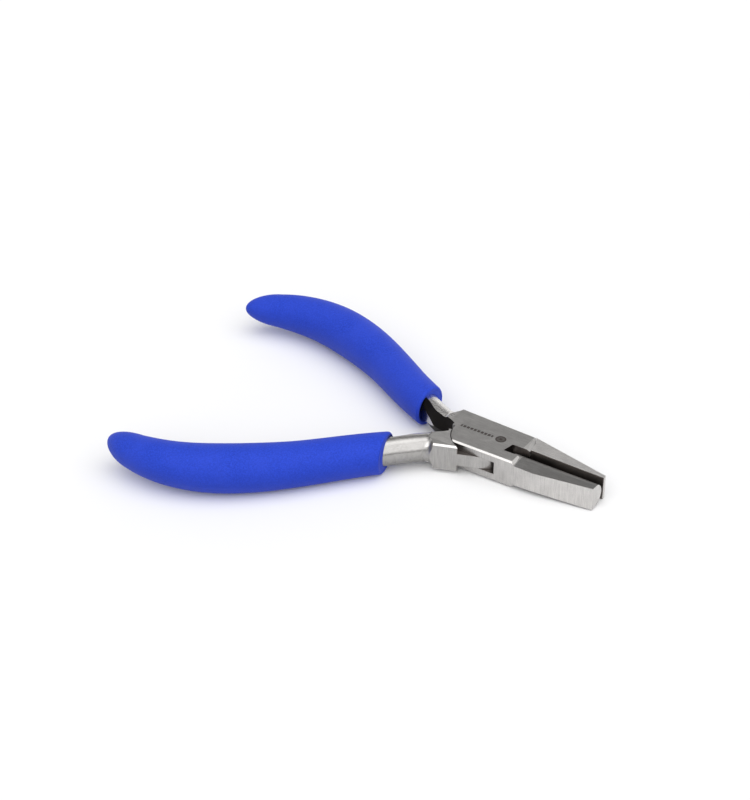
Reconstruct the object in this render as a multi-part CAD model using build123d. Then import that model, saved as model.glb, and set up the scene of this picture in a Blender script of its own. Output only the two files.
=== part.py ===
from build123d import *
import os
from math import cos, radians, sin, sqrt, tan

# Jewellery pliers with a box joint. The box half is slotted right through, and the tongue half
# passes through the slot and turns in it on a flush pin. The box half carries a half-round jaw
# and the tongue half a flat one. Both tangs are bare at the neck and sit in soft grips.
#
# Millimetres and degrees. X runs along the bisector of the two handles towards the jaws, Y
# towards the handle of the box half, and Z up. The origin is on the pivot's axis, in the
# joint's lower face. The jaws stand slightly open.

# Driving dimensions
joint_thickness = 8.2
half_turn = 9.1                 # each half's own straight axis is turned this far from X
jaw_opening = 1.6               # angle of the flat jaw from its closed place
jaw_reach = 35.5                # pivot axis to the jaw tips
pin_radius = 2.5
running_gap = 0.03              # between the pin and the tongue's hole
side_gap = 0.05                 # between each face of the tongue and its plate

# Joint, in the box half's own straight frame
tongue_thickness = 3.7
plate_radius = 9.5              # round rear corner of the two plates
mortise_radius = 9.8            # round walls that the tongue turns in
near_side = -7.13               # the box's straight side, on the round jaw's side
flank_offset = 7.38             # the other side runs out a little towards the handle
flank_slope = 0.0435
near_front = 11.9               # front of the flat plate faces, beside the round jaw
near_ramp = (0.7, 0.8)          # length and drop of the ramp from there down to the jaw
far_front = [(12.4, 0.3), (11.3, 6.9)]      # the same beside the flat jaw
far_ramp = (1.0, 0.4)
far_front_radius = 13.4
slot_near, slot_far = -3.4, 0.3
slot_back = 7.4
edge_bevel = 0.45

# Jaws, each in its own straight frame with the jaws closed, as (distance from the pivot, outer
# side, start of the round, outer and inner half height) for the round jaw, whose round working
# side reaches Y = 0, and (distance from the pivot, inner side, outer side, half height) for the
# flat one. The tips meet first.
round_jaw_stations = [(10.4, near_side, slot_near, 3.15, 3.65), (18.6, -7.05, -3.3, 2.9, 3.45),
                      (jaw_reach, -4.95, -3.0, 3.4, 3.3)]
flat_jaw_stations = [(10.4, 0.6, 6.75, 4.0), (jaw_reach, 0.03, 1.15, 3.45)]
shoulder_radius = 13.5          # hollow shoulder of the flat jaw, round the plates' front
tip_rounding = 0.25

# Necks and tangs: the line through the middle of the box half's, from the neck to the end
tang_line = [(-15.0, 6.42), (-17.8, 8.05), (-20.8, 10.3), (-24.0, 13.0), (-28.0, 16.4),
             (-42.0, 27.7), (-56.0, 36.7), (-70.0, 41.9), (-82.0, 42.4)]
tang_start_angle = 161.0
tang_end_angle = 190.0
tang_radii = [3.95, 4.0, 4.0, 3.9, 3.7, 3.5, 3.3, 3.0, 2.65, 2.3]      # evenly spaced along it
box_shoulder = 3.3              # from the start of the line back to the flat joint block
tongue_shoulder = 2.2
shoulder_fillet = 2.1
block_reach = 16.0              # more than the block's size, from its shoulder
# Inner side of the block and neck at mid height, ground upright, until inside the grip
inner_limit = [(-9.3, 1.0), (-15.0, 2.5), (-17.6, 4.2), (-20.4, 6.75), (-22.9, 9.4), (-26.5, 13.2)]
# Hollow ground into the inner side of each neck, above and below: distance along the line,
# how far inside the line its edge runs, the edge's height, and the slope down from that edge
hollow_stations = [(-6.0, 2.6, 4.1, 75.0), (-3.0, 1.7, 4.1, 70.0), (0.5, 1.25, 3.9, 64.0),
                   (3.7, 1.13, 3.8, 59.0), (11.0, 1.1, 3.85, 28.0)]
hollow_overrun = 1.5            # how far each slope runs on above its edge, clear of the steel

# Grips: the line through the middle of the box half's, from ahead of its mouth to its end. Each
# mouth is cut off square to its own direction, and they don't sit equally far up the handles.
grip_line = [(-18.3, 9.9), (-23.3, 13.3), (-28.0, 16.6), (-42.0, 27.7), (-56.0, 36.7),
             (-70.0, 41.9), (-82.0, 42.4), (-94.9, 38.95)]
box_grip_mouth = ((-22.15, 11.8), 165.0)        # middle of the mouth, and its direction
tongue_grip_mouth = ((-23.55, 13.3), 172.0)
grip_start_angle = 146.0
grip_end_angle = 202.0
grip_radii = [5.5, 5.75, 5.88, 6.05, 6.24, 6.53, 6.72, 6.7, 6.38, 5.86]     # evenly spaced
grip_rim_rounding = 0.7
grip_end_radius = 5.05          # where the rounded end begins
grip_end_taper = 0.6
grip_end_length = 10.7
grip_end_steps = 8

half = joint_thickness / 2
tongue_half_thickness = tongue_thickness / 2
mortise_half = tongue_half_thickness + side_gap


def direction(angle):
    return cos(radians(angle)), sin(radians(angle))


tang_path = Spline(tang_line, tangents=[direction(tang_start_angle), direction(tang_end_angle)])
grip_path = Spline(grip_line, tangents=[direction(grip_start_angle), direction(grip_end_angle)])


def turned(shape, angle):
    return Rot(0, 0, angle) * shape


def plate(points, half_height):
    """A flat piece with straight sides, centred on the middle plane."""
    outline = make_face(Polyline(*points, close=True))
    return extrude(outline, half_height, both=True)


def disc(radius, half_height):
    return Cylinder(radius, 2 * half_height)


def flank_y(x):
    return flank_offset - flank_slope * x


def across(path, share):
    """Frame across a line, its X up and its Y away from the other handle."""
    return Plane(origin=path @ share, x_dir=(0, 0, 1), z_dir=path % share)


def tang():
    """The round steel tang, from its neck to its end in the grip."""
    last = len(tang_radii) - 1
    return loft([across(tang_path, i / last) * Circle(radius) for i, radius in enumerate(tang_radii)])


def neck_shoulder(shoulder):
    """Round envelope of the block: wide up to its shoulder, then a fillet down to the neck."""
    neck_radius = tang_radii[0]
    fillet_top = (-shoulder, neck_radius + shoulder_fillet)
    fillet_foot = (shoulder_fillet - shoulder, neck_radius)
    profile = make_face(
        Polyline((-block_reach, 0), (-block_reach, block_reach), (-shoulder, block_reach), fillet_top)
        + RadiusArc(fillet_top, fillet_foot, -shoulder_fillet)
        + Polyline(fillet_foot, (0, neck_radius), (0, 0), (-block_reach, 0))
    )
    return Pos(*tang_line[0], 0) * turned(revolve(profile, axis=Axis.X), tang_start_angle)


def neck_hollow():
    """What the grinding wheel takes off the inner side of the neck, above the middle plane."""
    inner, top = -14, 12
    sections = []
    for distance, inside, height, slope in hollow_stations:
        share = max(distance, 0) / tang_path.length
        frame = across(tang_path, share).offset(min(distance, 0))
        foot = -inside - height / tan(radians(slope))
        ridge = (height + hollow_overrun * sin(radians(slope)),
                 -inside + hollow_overrun * cos(radians(slope)))
        sections.append(frame * make_face(Polyline(
            ridge, (0, foot), (0, foot + inner), (top, foot + inner), (top, ridge[1]), close=True)))
    return loft(sections)


def inner_clearance():
    """Keeps the inner side of the block and neck clear of the other half."""
    start, end = inner_limit[0], inner_limit[-1]
    corners = [(start[0] + 12, start[1]), *inner_limit, (end[0], -20), (start[0] + 12, -20)]
    return plate(corners, joint_thickness)


def handle_block(shoulder):
    """Joint block behind the pivot, neck and tang of the handle at +Y, as one solid."""
    block = plate([(0.5, flank_y(0.5)), (-18, flank_y(-18)), (-18, -3), (0.5, -3)], half)
    outer_edges = block.edges().filter_by(
        lambda edge: abs(edge.center().Z) > half - 0.01 and edge.center().Y > 7.0)
    block = turned(chamfer(outer_edges, edge_bevel), -half_turn) & neck_shoulder(shoulder)
    hollow = neck_hollow()
    return block + tang() - hollow - mirror(hollow, about=Plane.XY) - inner_clearance()


def round_jaw_section(outer, flat_end, outer_height, inner_height):
    """Flat outer side, nearly flat faces, and a round working side that reaches Y = 0."""
    return make_face(
        Polyline((flat_end, inner_height), (outer, outer_height), (outer, -outer_height),
                 (flat_end, -inner_height))
        + ThreePointArc((flat_end, -inner_height), (0, 0), (flat_end, inner_height))
    )


def flat_jaw_section(inner, outer, half_height):
    return Pos((inner + outer) / 2, 0) * Rectangle(outer - inner, 2 * half_height)


def tapered_jaw(section, stations):
    """A jaw with straight sides between its stations, and its tip slightly rounded."""
    jaw = loft([Plane.YZ.offset(x) * section(*size) for x, *size in stations], ruled=True)
    return fillet(jaw.faces().sort_by(Axis.X)[-1].edges(), tip_rounding)


def wedge(front, ramp):
    """What is taken off a plate's front so that its face ramps down, from the front line on."""
    (x0, y0), (x1, y1) = front
    length, drop = ramp
    ends = []
    for x, y in ((x0 + (x0 - x1), y0 + (y0 - y1)), (x1 + (x1 - x0), y1 + (y1 - y0))):
        ends.append(Plane.XZ.offset(-y) * make_face(Polyline(
            (x, half), (x + length, half - drop), (x + length + 3, half - drop), (x + length + 3, half + 1),
            (x, half + 1), close=True)))
    upper = loft(ends, ruled=True)
    return upper + mirror(upper, about=Plane.XY)


def box_plates():
    """The two plates and the wall between them in front, in the box half's own frame."""
    middle = disc(plate_radius, half) & plate(
        [(-12, near_side), (12, near_side), (12, flank_y(12)), (-12, flank_y(-12))], half)
    near_end = near_front + near_ramp[0]
    near = plate([(0, near_side), (near_end, near_side), (near_end, slot_far), (0, slot_far)], half)
    far = plate([(0, slot_near), (20, slot_near), (20, flank_y(20)), (-2, flank_y(-2)), (-2, 0)], half)
    far = far & disc(far_front_radius, half)
    slot = plate([(slot_back, slot_near), (slot_back + 0.7, slot_far), (20, slot_far), (20, slot_near)],
                 joint_thickness)
    plates = middle + near + far - slot
    side_edges = plates.edges().filter_by(GeomType.LINE).filter_by(
        lambda edge: abs(abs(edge.center().Z) - half) < 0.01 and abs(edge.center().Y) > 6.5
        and edge.length > 4)
    near_ramps = wedge([(near_front, near_side), (near_front, slot_near)], near_ramp)
    near_ramps = near_ramps & plate([(0, -20), (20, -20), (20, slot_near), (0, slot_near)], 20)
    far_ramps = wedge(far_front, far_ramp)
    far_ramps = far_ramps & plate([(0, slot_near), (20, slot_near), (20, 20), (0, 20)], 20)
    return chamfer(side_edges, edge_bevel) - near_ramps - far_ramps


def mortise():
    """The way through the box half that the tongue turns in."""
    far_wall = -sqrt(mortise_radius ** 2 - flank_y(-6) ** 2)
    front = plate([(far_wall, slot_near), (20, slot_near), (20, 20), (far_wall, 20)], mortise_half)
    return disc(mortise_radius, mortise_half) + front


def box_half():
    plates = turned(box_plates() + tapered_jaw(round_jaw_section, round_jaw_stations), -half_turn)
    hollow = turned(mortise(), -half_turn) + disc(pin_radius, joint_thickness)
    body = plates + handle_block(box_shoulder) - hollow
    return Pos(0, 0, half) * body


def tongue_half():
    jaw_inner = flat_jaw_stations[0][1]
    root = plate([(0, jaw_inner), (shoulder_radius + 0.5, jaw_inner), (shoulder_radius + 0.5, 5.9),
                  (11.3, 6.5), (0, flank_offset)], tongue_half_thickness)
    jaw = tapered_jaw(flat_jaw_section, flat_jaw_stations) - disc(shoulder_radius, joint_thickness)
    tongue = disc(flank_offset, tongue_half_thickness)
    block = mirror(handle_block(tongue_shoulder), about=Plane.XZ)
    web = block & Pos(-mortise_radius / 2, 0, 0) * Box(mortise_radius + 3, 40, tongue_thickness)
    body = (block - disc(mortise_radius, joint_thickness)) + web + tongue
    body = body + turned(jaw + root, jaw_opening - half_turn)
    body = body - disc(pin_radius + running_gap, joint_thickness)
    return Pos(0, 0, half) * body


def pivot_pin():
    return Pos(0, 0, half) * Cylinder(pin_radius, joint_thickness)


def grip(mouth, mouth_angle):
    """The soft grip of the handle at +Y, with a round bore for the tang."""
    body_length = grip_path.length - grip_end_length
    stations = []
    for i, radius in enumerate(grip_radii):
        stations.append((body_length * i / len(grip_radii) / grip_path.length, radius))
    for step in range(grip_end_steps):
        angle = radians(90 * step / grip_end_steps)
        radius = (grip_end_radius - grip_end_taper * sin(angle)) * cos(angle)
        stations.append((1 - grip_end_length * (1 - sin(angle)) / grip_path.length, radius))
    sections = [across(grip_path, share) * Circle(radius) for share, radius in stations]
    whole = loft(sections + [Vertex(grip_path @ 1)])
    cut = Plane(origin=(*mouth, 0), x_dir=(0, 0, 1), z_dir=(*direction(mouth_angle), 0))
    body = split(whole, bisect_by=cut, keep=Keep.TOP)
    rim = body.edges().filter_by(lambda edge: abs(cut.to_local_coords(edge.center()).Z) < 0.01)
    body = fillet(rim, grip_rim_rounding) - tang()
    return Pos(0, 0, half) * body


os.makedirs("parts", exist_ok=True)
export_step(box_half(), "parts/box_half.step")
export_step(tongue_half(), "parts/tongue_half.step")
export_step(pivot_pin(), "parts/pivot_pin.step")
export_step(grip(*box_grip_mouth), "parts/box_half_grip.step")
tongue_grip = mirror(grip(*tongue_grip_mouth), about=Plane.XZ)
export_step(tongue_grip, "parts/tongue_half_grip.step")
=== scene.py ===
import math
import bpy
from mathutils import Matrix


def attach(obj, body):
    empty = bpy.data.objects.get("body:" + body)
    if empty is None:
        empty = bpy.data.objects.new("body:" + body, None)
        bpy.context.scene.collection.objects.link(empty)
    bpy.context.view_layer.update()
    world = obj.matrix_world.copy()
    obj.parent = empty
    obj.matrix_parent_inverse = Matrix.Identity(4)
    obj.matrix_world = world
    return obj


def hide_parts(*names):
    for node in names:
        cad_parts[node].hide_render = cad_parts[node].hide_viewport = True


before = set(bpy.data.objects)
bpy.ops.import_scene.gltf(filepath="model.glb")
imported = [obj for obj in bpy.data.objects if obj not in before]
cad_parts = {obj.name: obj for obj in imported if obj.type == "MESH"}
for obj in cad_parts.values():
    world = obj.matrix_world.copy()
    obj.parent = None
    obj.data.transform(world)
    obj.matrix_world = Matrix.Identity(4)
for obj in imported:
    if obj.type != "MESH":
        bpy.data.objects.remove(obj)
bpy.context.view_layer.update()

from types import SimpleNamespace

import bpy
import numpy as np
from mathutils import Matrix, Vector

# Sizes are in millimetres here and in metres in the scene. X runs towards the jaws, Y towards
# the handle of the box half, and Z up from the joint's lower face.
MM = 0.001
MIDDLE = 4.1                    # height of the joint's middle plane
JOINT_TOP = 8.2
HALF_TURN = 9.1                 # each half's own straight axis is turned this far from X
JAW_OPENING = 1.6               # and the flat jaw this much less

# Lines of the box half's handle: the tang, and the grip from ahead of its mouth to its end,
# each with its direction in degrees at the start and at the end
TANG_LINE = [(-15.0, 6.42), (-17.8, 8.05), (-20.8, 10.3), (-24.0, 13.0), (-28.0, 16.4),
             (-42.0, 27.7), (-56.0, 36.7), (-70.0, 41.9), (-82.0, 42.4)]
TANG_ANGLES = (161, 190)
GRIP_LINE = [(-18.3, 9.9), (-23.3, 13.3), (-28.0, 16.6), (-42.0, 27.7), (-56.0, 36.7),
             (-70.0, 41.9), (-82.0, 42.4), (-94.9, 38.95)]
GRIP_ANGLES = (146, 202)

# The grip's outside: radii evenly spaced along it, and the rounded end
GRIP_RADII = [5.5, 5.75, 5.88, 6.05, 6.24, 6.53, 6.72, 6.7, 6.38, 5.86, 5.05]
RADIUS_SLOPES = (0.05, -0.14)   # at the first and last radius
END_RADIUS, END_TAPER, END_LENGTH = 5.05, 0.6, 10.7

# The grips' mouths: middle of each, and its direction
BOX_MOUTH = ((-22.15, 11.8), 165.0)
TONGUE_MOUTH = ((-23.55, 13.3), 172.0)
MOUTH_SEARCH = 14               # a mouth is crossed within this distance of a line's start
LIP = 0.85                      # rounding of the mouth's outer edge
BORE_EDGE = 0.18                # and of its inner edge
BORE_RADIUS = 3.92              # a little under the neck, which the grip is stretched over
BORE_DEPTHS = (16, 13, 10, 7.5, 5, 3, 1.6, 0.8)

ROUND = 96                      # points round a grip
BORE_EDGE_STEPS, LIP_STEPS, BODY_STEPS, END_STEPS = 4, 8, 89, 14
MOUTH_SHARES = (0.35, 0.7)      # points across the mouth's flat face


# ---------------------------------------------------------------- grips

def direction(angle):
    return np.array([math.cos(math.radians(angle)), math.sin(math.radians(angle))])


def smooth_line(points, first, last, steps=40):
    """Distances and points along a smooth curve through the points, with those end slopes."""
    p = np.array(points, float)
    h = np.hypot(*np.diff(p, axis=0).T)
    slope = np.diff(p, axis=0) / h[:, None]
    n = len(p)
    a, b = np.eye(n), np.zeros((n, 2))
    b[0], b[-1] = first, last
    for i in range(1, n - 1):
        a[i, i - 1:i + 2] = h[i], 2 * (h[i - 1] + h[i]), h[i - 1]
        b[i] = 3 * (slope[i - 1] * h[i] + slope[i] * h[i - 1])
    m = np.linalg.solve(a, b)
    t = np.linspace(0, 1, steps, endpoint=False)[:, None]
    parts = []
    for i in range(n - 1):
        parts.append((2 * t**3 - 3 * t**2 + 1) * p[i] + (t**3 - 2 * t**2 + t) * h[i] * m[i]
                     + (3 * t**2 - 2 * t**3) * p[i + 1] + (t**3 - t**2) * h[i] * m[i + 1])
    line = np.vstack(parts + [p[-1:]])
    distance = np.concatenate([[0], np.cumsum(np.hypot(*np.diff(line, axis=0).T))])
    return distance, line


def surface_point(line, distance, radius, angle):
    """A point of a tube round a line: distance along it, and angle from outwards up to Z."""
    along, points = line

    def on_line(where):
        return np.array([np.interp(where, along, points[:, k]) for k in (0, 1)])

    centre = on_line(distance)
    run = on_line(distance + 0.05) - on_line(distance - 0.05)
    run /= np.hypot(*run)
    outward = np.array([run[1], -run[0]])
    flat = centre + radius * math.cos(angle) * outward
    return np.array([flat[0], flat[1], MIDDLE + radius * math.sin(angle)])


def mouth_crossing(line, radius, angle, mouth):
    """How far along the line the tube's side at that angle crosses the mouth's plane."""
    middle, turn = mouth
    distances = np.linspace(0, MOUTH_SEARCH, 4 * MOUTH_SEARCH + 1)
    ahead = []
    for distance in distances:
        point = surface_point(line, distance, radius(distance), angle)
        ahead.append((point[:2] - np.array(middle)) @ direction(turn))
    return float(np.interp(0, ahead, distances))


def grip_mesh(name, mouth, mirrored):
    """A grip with its bore, its mouth's flat face and lip, its outside and its rounded end."""
    tang = smooth_line(TANG_LINE, *map(direction, TANG_ANGLES))
    line = smooth_line(GRIP_LINE, *map(direction, GRIP_ANGLES))
    length = line[0][-1]
    body = length - END_LENGTH
    places = np.linspace(0, body, len(GRIP_RADII))
    profile = smooth_line(list(zip(places, GRIP_RADII)), *((1, slope) for slope in RADIUS_SLOPES))[1]

    def outer_radius(distance):
        if distance <= body:
            return float(np.interp(distance, profile[:, 0], profile[:, 1]))
        s = min((distance - body) / END_LENGTH, 1.0)
        return (END_RADIUS - END_TAPER * s) * math.sqrt(1 - s * s)

    def column_at(angle):
        start = mouth_crossing(line, outer_radius, angle, mouth)
        bore = mouth_crossing(tang, lambda distance: BORE_RADIUS, angle, mouth)
        column = []
        for depth in BORE_DEPTHS:
            column.append(surface_point(tang, bore + depth, BORE_RADIUS, angle))
        for k in range(BORE_EDGE_STEPS + 1):
            a = math.radians(90 * k / BORE_EDGE_STEPS)
            radius = BORE_RADIUS + BORE_EDGE * (1 - math.cos(a))
            column.append(surface_point(tang, bore + BORE_EDGE * (1 - math.sin(a)), radius, angle))
        inner = column[-1]
        rim = surface_point(line, start, outer_radius(start) - LIP, angle)
        for share in MOUTH_SHARES:
            column.append(inner * (1 - share) + rim * share)
        for k in range(LIP_STEPS + 1):
            a = math.radians(90 - 90 * k / LIP_STEPS)
            distance = start + LIP * (1 - math.sin(a))
            radius = outer_radius(distance) - LIP * (1 - math.cos(a))
            column.append(surface_point(line, distance, radius, angle))
        first = start + LIP
        for share in np.linspace(0, 1, BODY_STEPS + 1)[1:]:
            distance = first + (body - first) * share
            column.append(surface_point(line, distance, outer_radius(distance), angle))
        for k in range(1, END_STEPS):
            distance = body + END_LENGTH * math.sin(math.radians(90 * k / END_STEPS))
            column.append(surface_point(line, distance, outer_radius(distance), angle))
        return column

    columns = [column_at(2 * math.pi * i / ROUND) for i in range(ROUND)]
    rows = len(columns[0])
    points = [columns[i][j] for j in range(rows) for i in range(ROUND)]
    points.append(surface_point(line, length, 0.0, 0.0))
    side = -1 if mirrored else 1
    vertices = [(p[0] * MM, side * p[1] * MM, p[2] * MM) for p in points]
    faces = []
    for j in range(rows - 1):
        for i in range(ROUND):
            k = (i + 1) % ROUND
            faces.append((j * ROUND + i, j * ROUND + k, (j + 1) * ROUND + k, (j + 1) * ROUND + i))
    last = (rows - 1) * ROUND
    for i in range(ROUND):
        faces.append((last + i, last + (i + 1) % ROUND, len(points) - 1))
    if mirrored:
        faces = [face[::-1] for face in faces]
    grip = add_mesh(name, vertices, faces)
    grip.data.shade_smooth()
    return grip


def add_mesh(name, vertices, faces):
    mesh = bpy.data.meshes.new(name)
    mesh.from_pydata(vertices, [], faces)
    mesh.update()
    obj = bpy.data.objects.new(name, mesh)
    bpy.context.scene.collection.objects.link(obj)
    return obj


# ---------------------------------------------------------------- node trees

class Tree:
    """Adds nodes to a material or world."""

    def __init__(self, owner):
        owner.use_nodes = True
        self.nodes, self.links = owner.node_tree.nodes, owner.node_tree.links
        self.nodes.clear()

    def feed(self, socket, value):
        """Links a socket to another, or sets it."""
        if isinstance(value, bpy.types.NodeSocket):
            self.links.new(value, socket)
        else:
            socket.default_value = value

    def add(self, kind, inputs=None, **settings):
        node = self.nodes.new(kind)
        for key, value in settings.items():
            setattr(node, key, value)
        for key, value in (inputs or {}).items():
            self.feed(node.inputs[key], value)
        return node

    def math(self, operation, *values):
        inputs = dict(enumerate(values))
        return self.add("ShaderNodeMath", inputs, operation=operation).outputs[0]

    def times(self, *values):
        product = values[0]
        for value in values[1:]:
            product = self.math("MULTIPLY", product, value)
        return product

    def ramp(self, value, low, high, to_low=0.0, to_high=1.0):
        """Runs smoothly from to_low to to_high as value runs from low to high."""
        return self.add("ShaderNodeMapRange", {
            "Value": value, "From Min": low, "From Max": high, "To Min": to_low, "To Max": to_high,
        }, interpolation_type="SMOOTHSTEP").outputs[0]

    def band(self, value, low, high, edge):
        """1 between low and high, with soft edges."""
        return self.times(self.ramp(value, low - edge, low + edge),
                          self.ramp(value, high - edge, high + edge, 1.0, 0.0))

    def mix(self, factor, a, b):
        """A colour between a and b, or beyond b where the factor is over 1."""
        node = self.add("ShaderNodeMix", {"Factor": factor}, data_type="RGBA", clamp_factor=False)
        for key, value in ((6, a), (7, b)):
            self.feed(node.inputs[key], (*value, 1) if isinstance(value, tuple) else value)
        return node.outputs[2]

    def blend(self, factor, a, b):
        """A number between a and b."""
        return self.add("ShaderNodeMix", {0: factor, 2: a, 3: b}, data_type="FLOAT").outputs[0]

    def noise(self, vector, stretch, detail=3.0, roughness=0.55):
        """Noise with stretch features a millimetre along each axis."""
        scaled = self.add("ShaderNodeVectorMath", {0: vector, 1: stretch}, operation="MULTIPLY")
        return self.add("ShaderNodeTexNoise", {
            "Vector": scaled.outputs[0], "Scale": 1.0, "Detail": detail, "Roughness": roughness,
        }).outputs["Fac"]

    def split(self, vector):
        return self.add("ShaderNodeSeparateXYZ", {0: vector}).outputs

    def place(self, turn):
        """Position in millimetres, turned into a half's own straight frame, and the normal."""
        coordinates = self.add("ShaderNodeTexCoord")
        mapping = self.add("ShaderNodeMapping", {
            "Vector": coordinates.outputs["Object"],
            "Rotation": (0, 0, math.radians(turn)), "Scale": (1000, 1000, 1000)})
        return mapping.outputs[0], coordinates.outputs["Normal"]

    def surface(self, settings):
        shader = self.add("ShaderNodeBsdfPrincipled", settings)
        output = self.add("ShaderNodeOutputMaterial")
        self.links.new(shader.outputs[0], output.inputs["Surface"])


# ---------------------------------------------------------------- steel

BLACK = (0, 0, 0)
STEEL = (0.60, 0.585, 0.57)
SCALE_COLOURS = ((0.006, 0.005, 0.005), (0.020, 0.017, 0.015))      # black forging scale
INSIDE_SHADE_COLOURS = ((0.095, 0.083, 0.077), (0.230, 0.207, 0.195))     # painted shade inside the joint and slot
ETCHED = (0.050, 0.032, 0.025)

# Flat faces given painted light or painted shade: low and high X, low and high Y, and the tone's
# factor
BOX_PAINTED_LIGHT_AND_SHADE = [(12.9, 40.0, -9.0, -0.2, 0.58), (11.3, 13.6, 0.4, 9.0, 1.5)]
TONGUE_PAINTED_LIGHT = [(11.0, 40.0, 0.2, 9.0, 1.6), (-13.0, -6.0, -9.0, 9.0, 1.25)]
# Painted shade on the flat faces
TOP_PAINTED_SHADE = 0.88
SLOPE_PAINTED_HIGHLIGHT = 1.35               # painted highlight on ramps and bevels
SIDE_PAINTED_SHADE = (0.65, 1.02)       # painted shade on the side faces: at the joint's rear, and towards the jaw tips
# Painted light on each half's neck
BOX_NECK_PAINTED_LIGHT, TONGUE_NECK_PAINTED_LIGHT = 1.6, 1.1

# The etched mark on the box half's top face: a ring round a dot, and a row of dashes behind it
MARK_X, MARK_Y, MARK_RADIUS = 4.2, 0.6, 1.5
RING_WIDTH, DOT_RADIUS = 0.42, 0.45
ROW_START, ROW_GAP = 12.6, 0.9          # back from the mark's middle, and from its edge
ROW_SIDES = (-0.55, 0.45)
DASH_PITCH, DASH_EDGE = 0.55, 0.14      # half the pitch, and where a dash begins in it


def steel_material(name, turn, inner_side, inside_mask, marked=False, painted_tones=(), neck_painted_light=1.0):
    """Ground and brushed stainless steel. inner_side is the sign of Y towards the other handle,
    and inside_mask makes the mask of the faces inside the joint and slot, which get painted shade: a
    darker colour."""
    material = bpy.data.materials.new(name)
    tree = Tree(material)
    place, normal = tree.place(turn)
    x, y, z = tree.split(place)
    facing = tree.split(normal)
    upward = tree.math("ABSOLUTE", facing[2])
    spot = SimpleNamespace(x=x, y=y, z=z, facing=facing, upward=upward)
    flat = tree.ramp(upward, 0.80, 0.93)
    neck = tree.ramp(x, -11.5, -13.5)

    lengthwise = tree.noise(place, (0.5, 9.0, 3.0))
    upright = tree.noise(place, (7.0, 7.0, 0.22))
    grain = tree.blend(flat, upright, lengthwise)
    speckle = tree.noise(place, (5.0, 5.0, 5.0), detail=5.0, roughness=0.7)
    patches = tree.noise(place, (0.33, 0.33, 0.33), detail=2.0)

    # Painted shade: flat faces darker than the sides, and the sides darker towards the joint's rear
    tone = tree.blend(flat, tree.ramp(x, -10.0, 28.0, *SIDE_PAINTED_SHADE), TOP_PAINTED_SHADE)
    # Painted light and painted shade on the listed flat faces
    for low, high, side_low, side_high, factor in painted_tones:
        where = tree.times(tree.band(x, low, high, 0.05), tree.band(y, side_low, side_high, 0.05),
                           flat)
        tone = tree.blend(where, tone, tree.times(tone, factor))
    # Painted highlight on the ramps and bevels
    painted_highlight_slopes = tree.times(tree.band(upward, 0.55, 0.80, 0.04), tree.ramp(x, -13.0, -12.0))
    tone = tree.blend(painted_highlight_slopes, tone, SLOPE_PAINTED_HIGHLIGHT)
    # Painted light on the neck, with painted shade on its downward-facing side
    painted_shade_below = tree.ramp(facing[2], -0.35, 0.30, 0.75 * neck_painted_light, neck_painted_light)
    tone = tree.times(tone, tree.blend(neck, 1.0, painted_shade_below),
                      tree.ramp(grain, 0.25, 0.75, 0.84, 1.12),
                      tree.ramp(speckle, 0.3, 0.7, 0.92, 1.07),
                      tree.ramp(patches, 0.3, 0.7, 0.94, 1.04))
    colour = tree.mix(tone, BLACK, STEEL)

    # Scale left in the hollows on the inner side of the neck
    inward = tree.times(facing[1], float(inner_side))
    hollow = tree.times(tree.ramp(inward, 0.30, 0.37), tree.ramp(upward, 0.16, 0.24),
                        tree.ramp(x, -8.0, -8.6))
    colour = tree.mix(hollow, colour, tree.mix(speckle, *SCALE_COLOURS))
    # Painted shade on the faces inside the joint and slot, and on the flat jaw's working side
    colour = tree.mix(inside_mask(tree, spot), colour, tree.mix(speckle, *INSIDE_SHADE_COLOURS))
    if marked:
        colour = tree.mix(etching(tree, place, spot, speckle), colour, ETCHED)

    roughness = tree.ramp(grain, 0.2, 0.8, 0.27, 0.40)
    roughness = tree.blend(flat, roughness, tree.ramp(grain, 0.2, 0.8, 0.33, 0.46))
    roughness = tree.blend(neck, roughness, tree.ramp(grain, 0.2, 0.8, 0.20, 0.30))
    roughness = tree.blend(hollow, roughness, 0.6)
    rounded = tree.add("ShaderNodeBevel", {"Radius": 0.14 * MM}, samples=6)
    height = tree.math("ADD", grain, tree.times(speckle, 0.35))
    bump = tree.add("ShaderNodeBump", {
        "Strength": 0.5, "Distance": 0.008 * MM, "Height": height, "Normal": rounded.outputs[0]})
    tree.surface({
        "Base Color": colour, "Metallic": tree.blend(hollow, 1.0, 0.85), "Roughness": roughness,
        "Normal": bump.outputs[0]})
    return material


def etching(tree, place, spot, speckle):
    """How deep the etched mark is at each place."""
    away = tree.add("ShaderNodeVectorMath", {0: place, 1: (MARK_X, MARK_Y, JOINT_TOP)},
                    operation="DISTANCE").outputs["Value"]
    stain = tree.band(away, -1.0, MARK_RADIUS, 0.12)
    ring = tree.band(away, MARK_RADIUS - RING_WIDTH, MARK_RADIUS, 0.07)
    dot = tree.band(away, -1.0, DOT_RADIUS, 0.07)
    mark = tree.math("MAXIMUM", tree.times(stain, 0.80), tree.math("MAXIMUM", ring, dot))
    mark = tree.times(mark, tree.ramp(speckle, 0.3, 0.65, 1.0, 0.75))
    along = tree.band(spot.x, MARK_X - ROW_START, MARK_X - MARK_RADIUS - ROW_GAP, 0.2)
    across = tree.band(spot.y, MARK_Y + ROW_SIDES[0], MARK_Y + ROW_SIDES[1], 0.12)
    dashes = tree.band(tree.math("PINGPONG", spot.x, DASH_PITCH), DASH_EDGE, 0.60, 0.06)
    row = tree.times(along, across, dashes, tree.ramp(spot.z, 8.0, 8.1),
                     tree.ramp(speckle, 0.3, 0.65, 0.95, 0.65))
    return tree.math("MAXIMUM", mark, row)


def from_middle(tree, spot):
    return tree.math("ABSOLUTE", tree.math("SUBTRACT", spot.z, MIDDLE))


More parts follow.
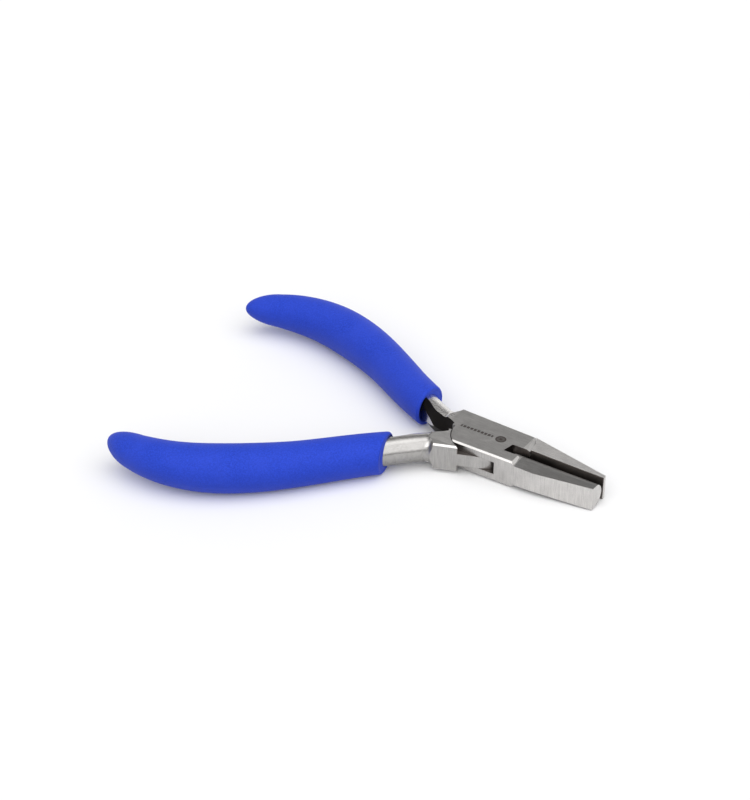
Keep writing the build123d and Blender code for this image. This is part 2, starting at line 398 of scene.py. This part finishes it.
def box_inside(tree, spot):
    """The mortise, and the walls of the slot, which get painted shade."""
    mortise = tree.times(tree.ramp(from_middle(tree, spot), 1.96, 1.90),
                         tree.band(spot.x, -9.9, 13.6, 0.02), tree.ramp(spot.y, -7.10, -7.05))
    slot = tree.times(tree.band(spot.x, 6.9, 13.6, 0.05), tree.band(spot.y, -3.5, 0.36, 0.02),
                      tree.ramp(spot.upward, 0.3, 0.1))
    return tree.math("MAXIMUM", mortise, slot)


def tongue_inside(tree, spot):
    """The tongue's flat faces, the throat round it, and the flat jaw's working side, all given
    painted shade.
    """
    depth = from_middle(tree, spot)
    tongue = tree.times(tree.ramp(depth, 2.0, 1.9), tree.ramp(spot.upward, 0.5, 0.8))
    squares = tree.math("ADD", tree.times(spot.x, spot.x), tree.times(spot.y, spot.y))
    throat = tree.times(tree.ramp(tree.math("SQRT", squares), 9.95, 9.88),
                        tree.ramp(spot.upward, 0.8, 0.5), tree.ramp(depth, 1.80, 1.86))
    working = tree.times(tree.ramp(spot.facing[1], -0.8, -0.9), tree.ramp(spot.x, 5.0, 7.0), 0.93)
    return tree.math("MAXIMUM", tree.math("MAXIMUM", tongue, throat), working)


def pin_inside(tree, spot):
    """The pin's round side, which gets painted shade."""
    return tree.ramp(spot.upward, 0.5, 0.3)


# ---------------------------------------------------------------- grip rubber

RUBBER_COLOURS = ((0.008, 0.038, 0.43), (0.020, 0.066, 0.62))       # between the pebbles, on them
CLOUD_COLOUR = (0.026, 0.068, 0.60)
# Painted shade on the grips' downward-facing sides
UNDERSIDE_SHADE_COLOUR = (0.004, 0.022, 0.27)
GLINT_COLOUR = (0.10, 0.15, 0.80)


def rubber_material():
    material = bpy.data.materials.new("blue_soft_grip")
    tree = Tree(material)
    place, normal = tree.place(0)
    pebble = tree.noise(place, (2.6, 2.6, 2.6), detail=6.0, roughness=0.68)
    fine = tree.noise(place, (7.0, 7.0, 7.0), detail=3.0, roughness=0.6)
    cloud = tree.noise(place, (0.10, 0.10, 0.10), detail=2.0)
    colour = tree.mix(tree.ramp(pebble, 0.32, 0.68), *RUBBER_COLOURS)
    colour = tree.mix(tree.ramp(cloud, 0.3, 0.7, 0.0, 0.40), colour, CLOUD_COLOUR)
    # Painted shade: darker towards the downward-facing side
    painted_underside_shade = tree.ramp(tree.split(normal)[2], -0.4, 0.95, 0.42, 0.0)
    colour = tree.mix(painted_underside_shade, colour, UNDERSIDE_SHADE_COLOUR)
    colour = tree.mix(tree.ramp(fine, 0.66, 0.76, 0.0, 0.35), colour, GLINT_COLOUR)
    height = tree.math("ADD", pebble, tree.times(fine, 0.5))
    bump = tree.add("ShaderNodeBump", {"Strength": 0.6, "Distance": 0.09 * MM, "Height": height})
    tree.surface({
        "Base Color": colour, "Roughness": tree.ramp(pebble, 0.2, 0.8, 0.60, 0.76),
        "Specular IOR Level": 0.22, "Sheen Weight": 0.06, "Sheen Roughness": 0.5,
        "Normal": bump.outputs[0]})
    return material


# ---------------------------------------------------------------- pieces

def paint(obj, material):
    obj.data.materials.clear()
    obj.data.materials.append(material)


paint(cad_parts["box_half"],
      steel_material("box_half_steel", HALF_TURN, -1, box_inside,
                     marked=True, painted_tones=BOX_PAINTED_LIGHT_AND_SHADE, neck_painted_light=BOX_NECK_PAINTED_LIGHT))
paint(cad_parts["tongue_half"],
      steel_material("tongue_half_steel", HALF_TURN - JAW_OPENING, 1, tongue_inside,
                     painted_tones=TONGUE_PAINTED_LIGHT, neck_painted_light=TONGUE_NECK_PAINTED_LIGHT))
paint(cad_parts["pivot_pin"],
      steel_material("pin_end_steel", HALF_TURN, -1, pin_inside, marked=True))

blue = rubber_material()
for name, mouth, mirrored, body, node in (
        ("box_grip_soft", BOX_MOUTH, False, "box_side", "box_half_grip"),
        ("tongue_grip_soft", TONGUE_MOUTH, True, "tongue_side", "tongue_half_grip")):
    soft = grip_mesh(name, mouth, mirrored)
    paint(soft, blue)
    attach(soft, body)
    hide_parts(node)


# ---------------------------------------------------------------- floor, light and camera

# Metres, but for FLOOR_LEVEL_X
FLOOR_SLOPE = 0.0341            # the pliers lie on their grips and jaw tips
FLOOR_LEVEL_X = 17.7            # where the floor crosses the joint's lower face
FLOOR_GAP = 0.05 * MM
FLOOR_REACH = 3.0
FLOOR_COLOURS = ((0.925, 0.925, 0.93), (0.94, 0.94, 0.945))

corners = []
for across, along in ((-1, -1), (1, -1), (1, 1), (-1, 1)):
    x, y = across * FLOOR_REACH, along * FLOOR_REACH
    corners.append((x, y, FLOOR_SLOPE * (x - FLOOR_LEVEL_X * MM) - FLOOR_GAP))
floor = add_mesh("floor", corners, [(0, 1, 2, 3)])
floor_material = bpy.data.materials.new("pale_floor")
tree = Tree(floor_material)
place, _ = tree.place(0)
tint = tree.mix(tree.noise(place, (0.02, 0.02, 0.02)), *FLOOR_COLOURS)
tree.surface({"Base Color": tint, "Roughness": 0.8, "Specular IOR Level": 0.2})
paint(floor, floor_material)

SOFTBOX_WAY = Vector((0.30, -0.50, 0.81)).normalized()
SOFTBOX_LEVEL = 1.72
SWEEP_LEVELS = (0.92, 0.27)     # of the pale wall behind the object, low down and higher up
FRONT_LEVEL = 0.13

world = bpy.data.worlds.new("studio")
bpy.context.scene.world = world
tree = Tree(world)
heading = tree.add("ShaderNodeTexCoord").outputs["Generated"]
_, back, height = tree.split(heading)
towards = tree.add("ShaderNodeVectorMath", {0: heading, 1: SOFTBOX_WAY}, operation="DOT_PRODUCT")
softbox = tree.times(tree.ramp(towards.outputs["Value"], 0.25, 0.80),
                     tree.ramp(height, 0.05, 0.35))
sweep = tree.ramp(height, 0.22, 0.50, *SWEEP_LEVELS)
surround = tree.blend(tree.ramp(back, -0.25, 0.30), FRONT_LEVEL, sweep)
level = tree.blend(softbox, surround, SOFTBOX_LEVEL)
background = tree.add("ShaderNodeBackground", {"Color": (1, 1, 1, 1), "Strength": level})
output = tree.add("ShaderNodeOutputWorld")
tree.links.new(background.outputs[0], output.inputs["Surface"])

CAMERA_PLACE = (0.15042, -0.39383, 0.29231)
CAMERA_RIGHT = Vector((0.9063, 0.4226, 0.0)).normalized()
CAMERA_FORWARD = Vector((-0.3546, 0.7604, -0.5441)).normalized()

camera_data = bpy.data.cameras.new("camera")
camera_data.sensor_width = 36.0
camera_data.lens = 84.44
camera_data.clip_start, camera_data.clip_end = 0.01, 20.0
camera = bpy.data.objects.new("camera", camera_data)
bpy.context.scene.collection.objects.link(camera)
up = CAMERA_RIGHT.cross(CAMERA_FORWARD).normalized()
turn = Matrix((CAMERA_RIGHT, up, -CAMERA_FORWARD)).transposed().to_4x4()
camera.matrix_world = Matrix.Translation(CAMERA_PLACE) @ turn
bpy.context.scene.camera = camera
bpy.context.scene.view_settings.view_transform = "Standard"
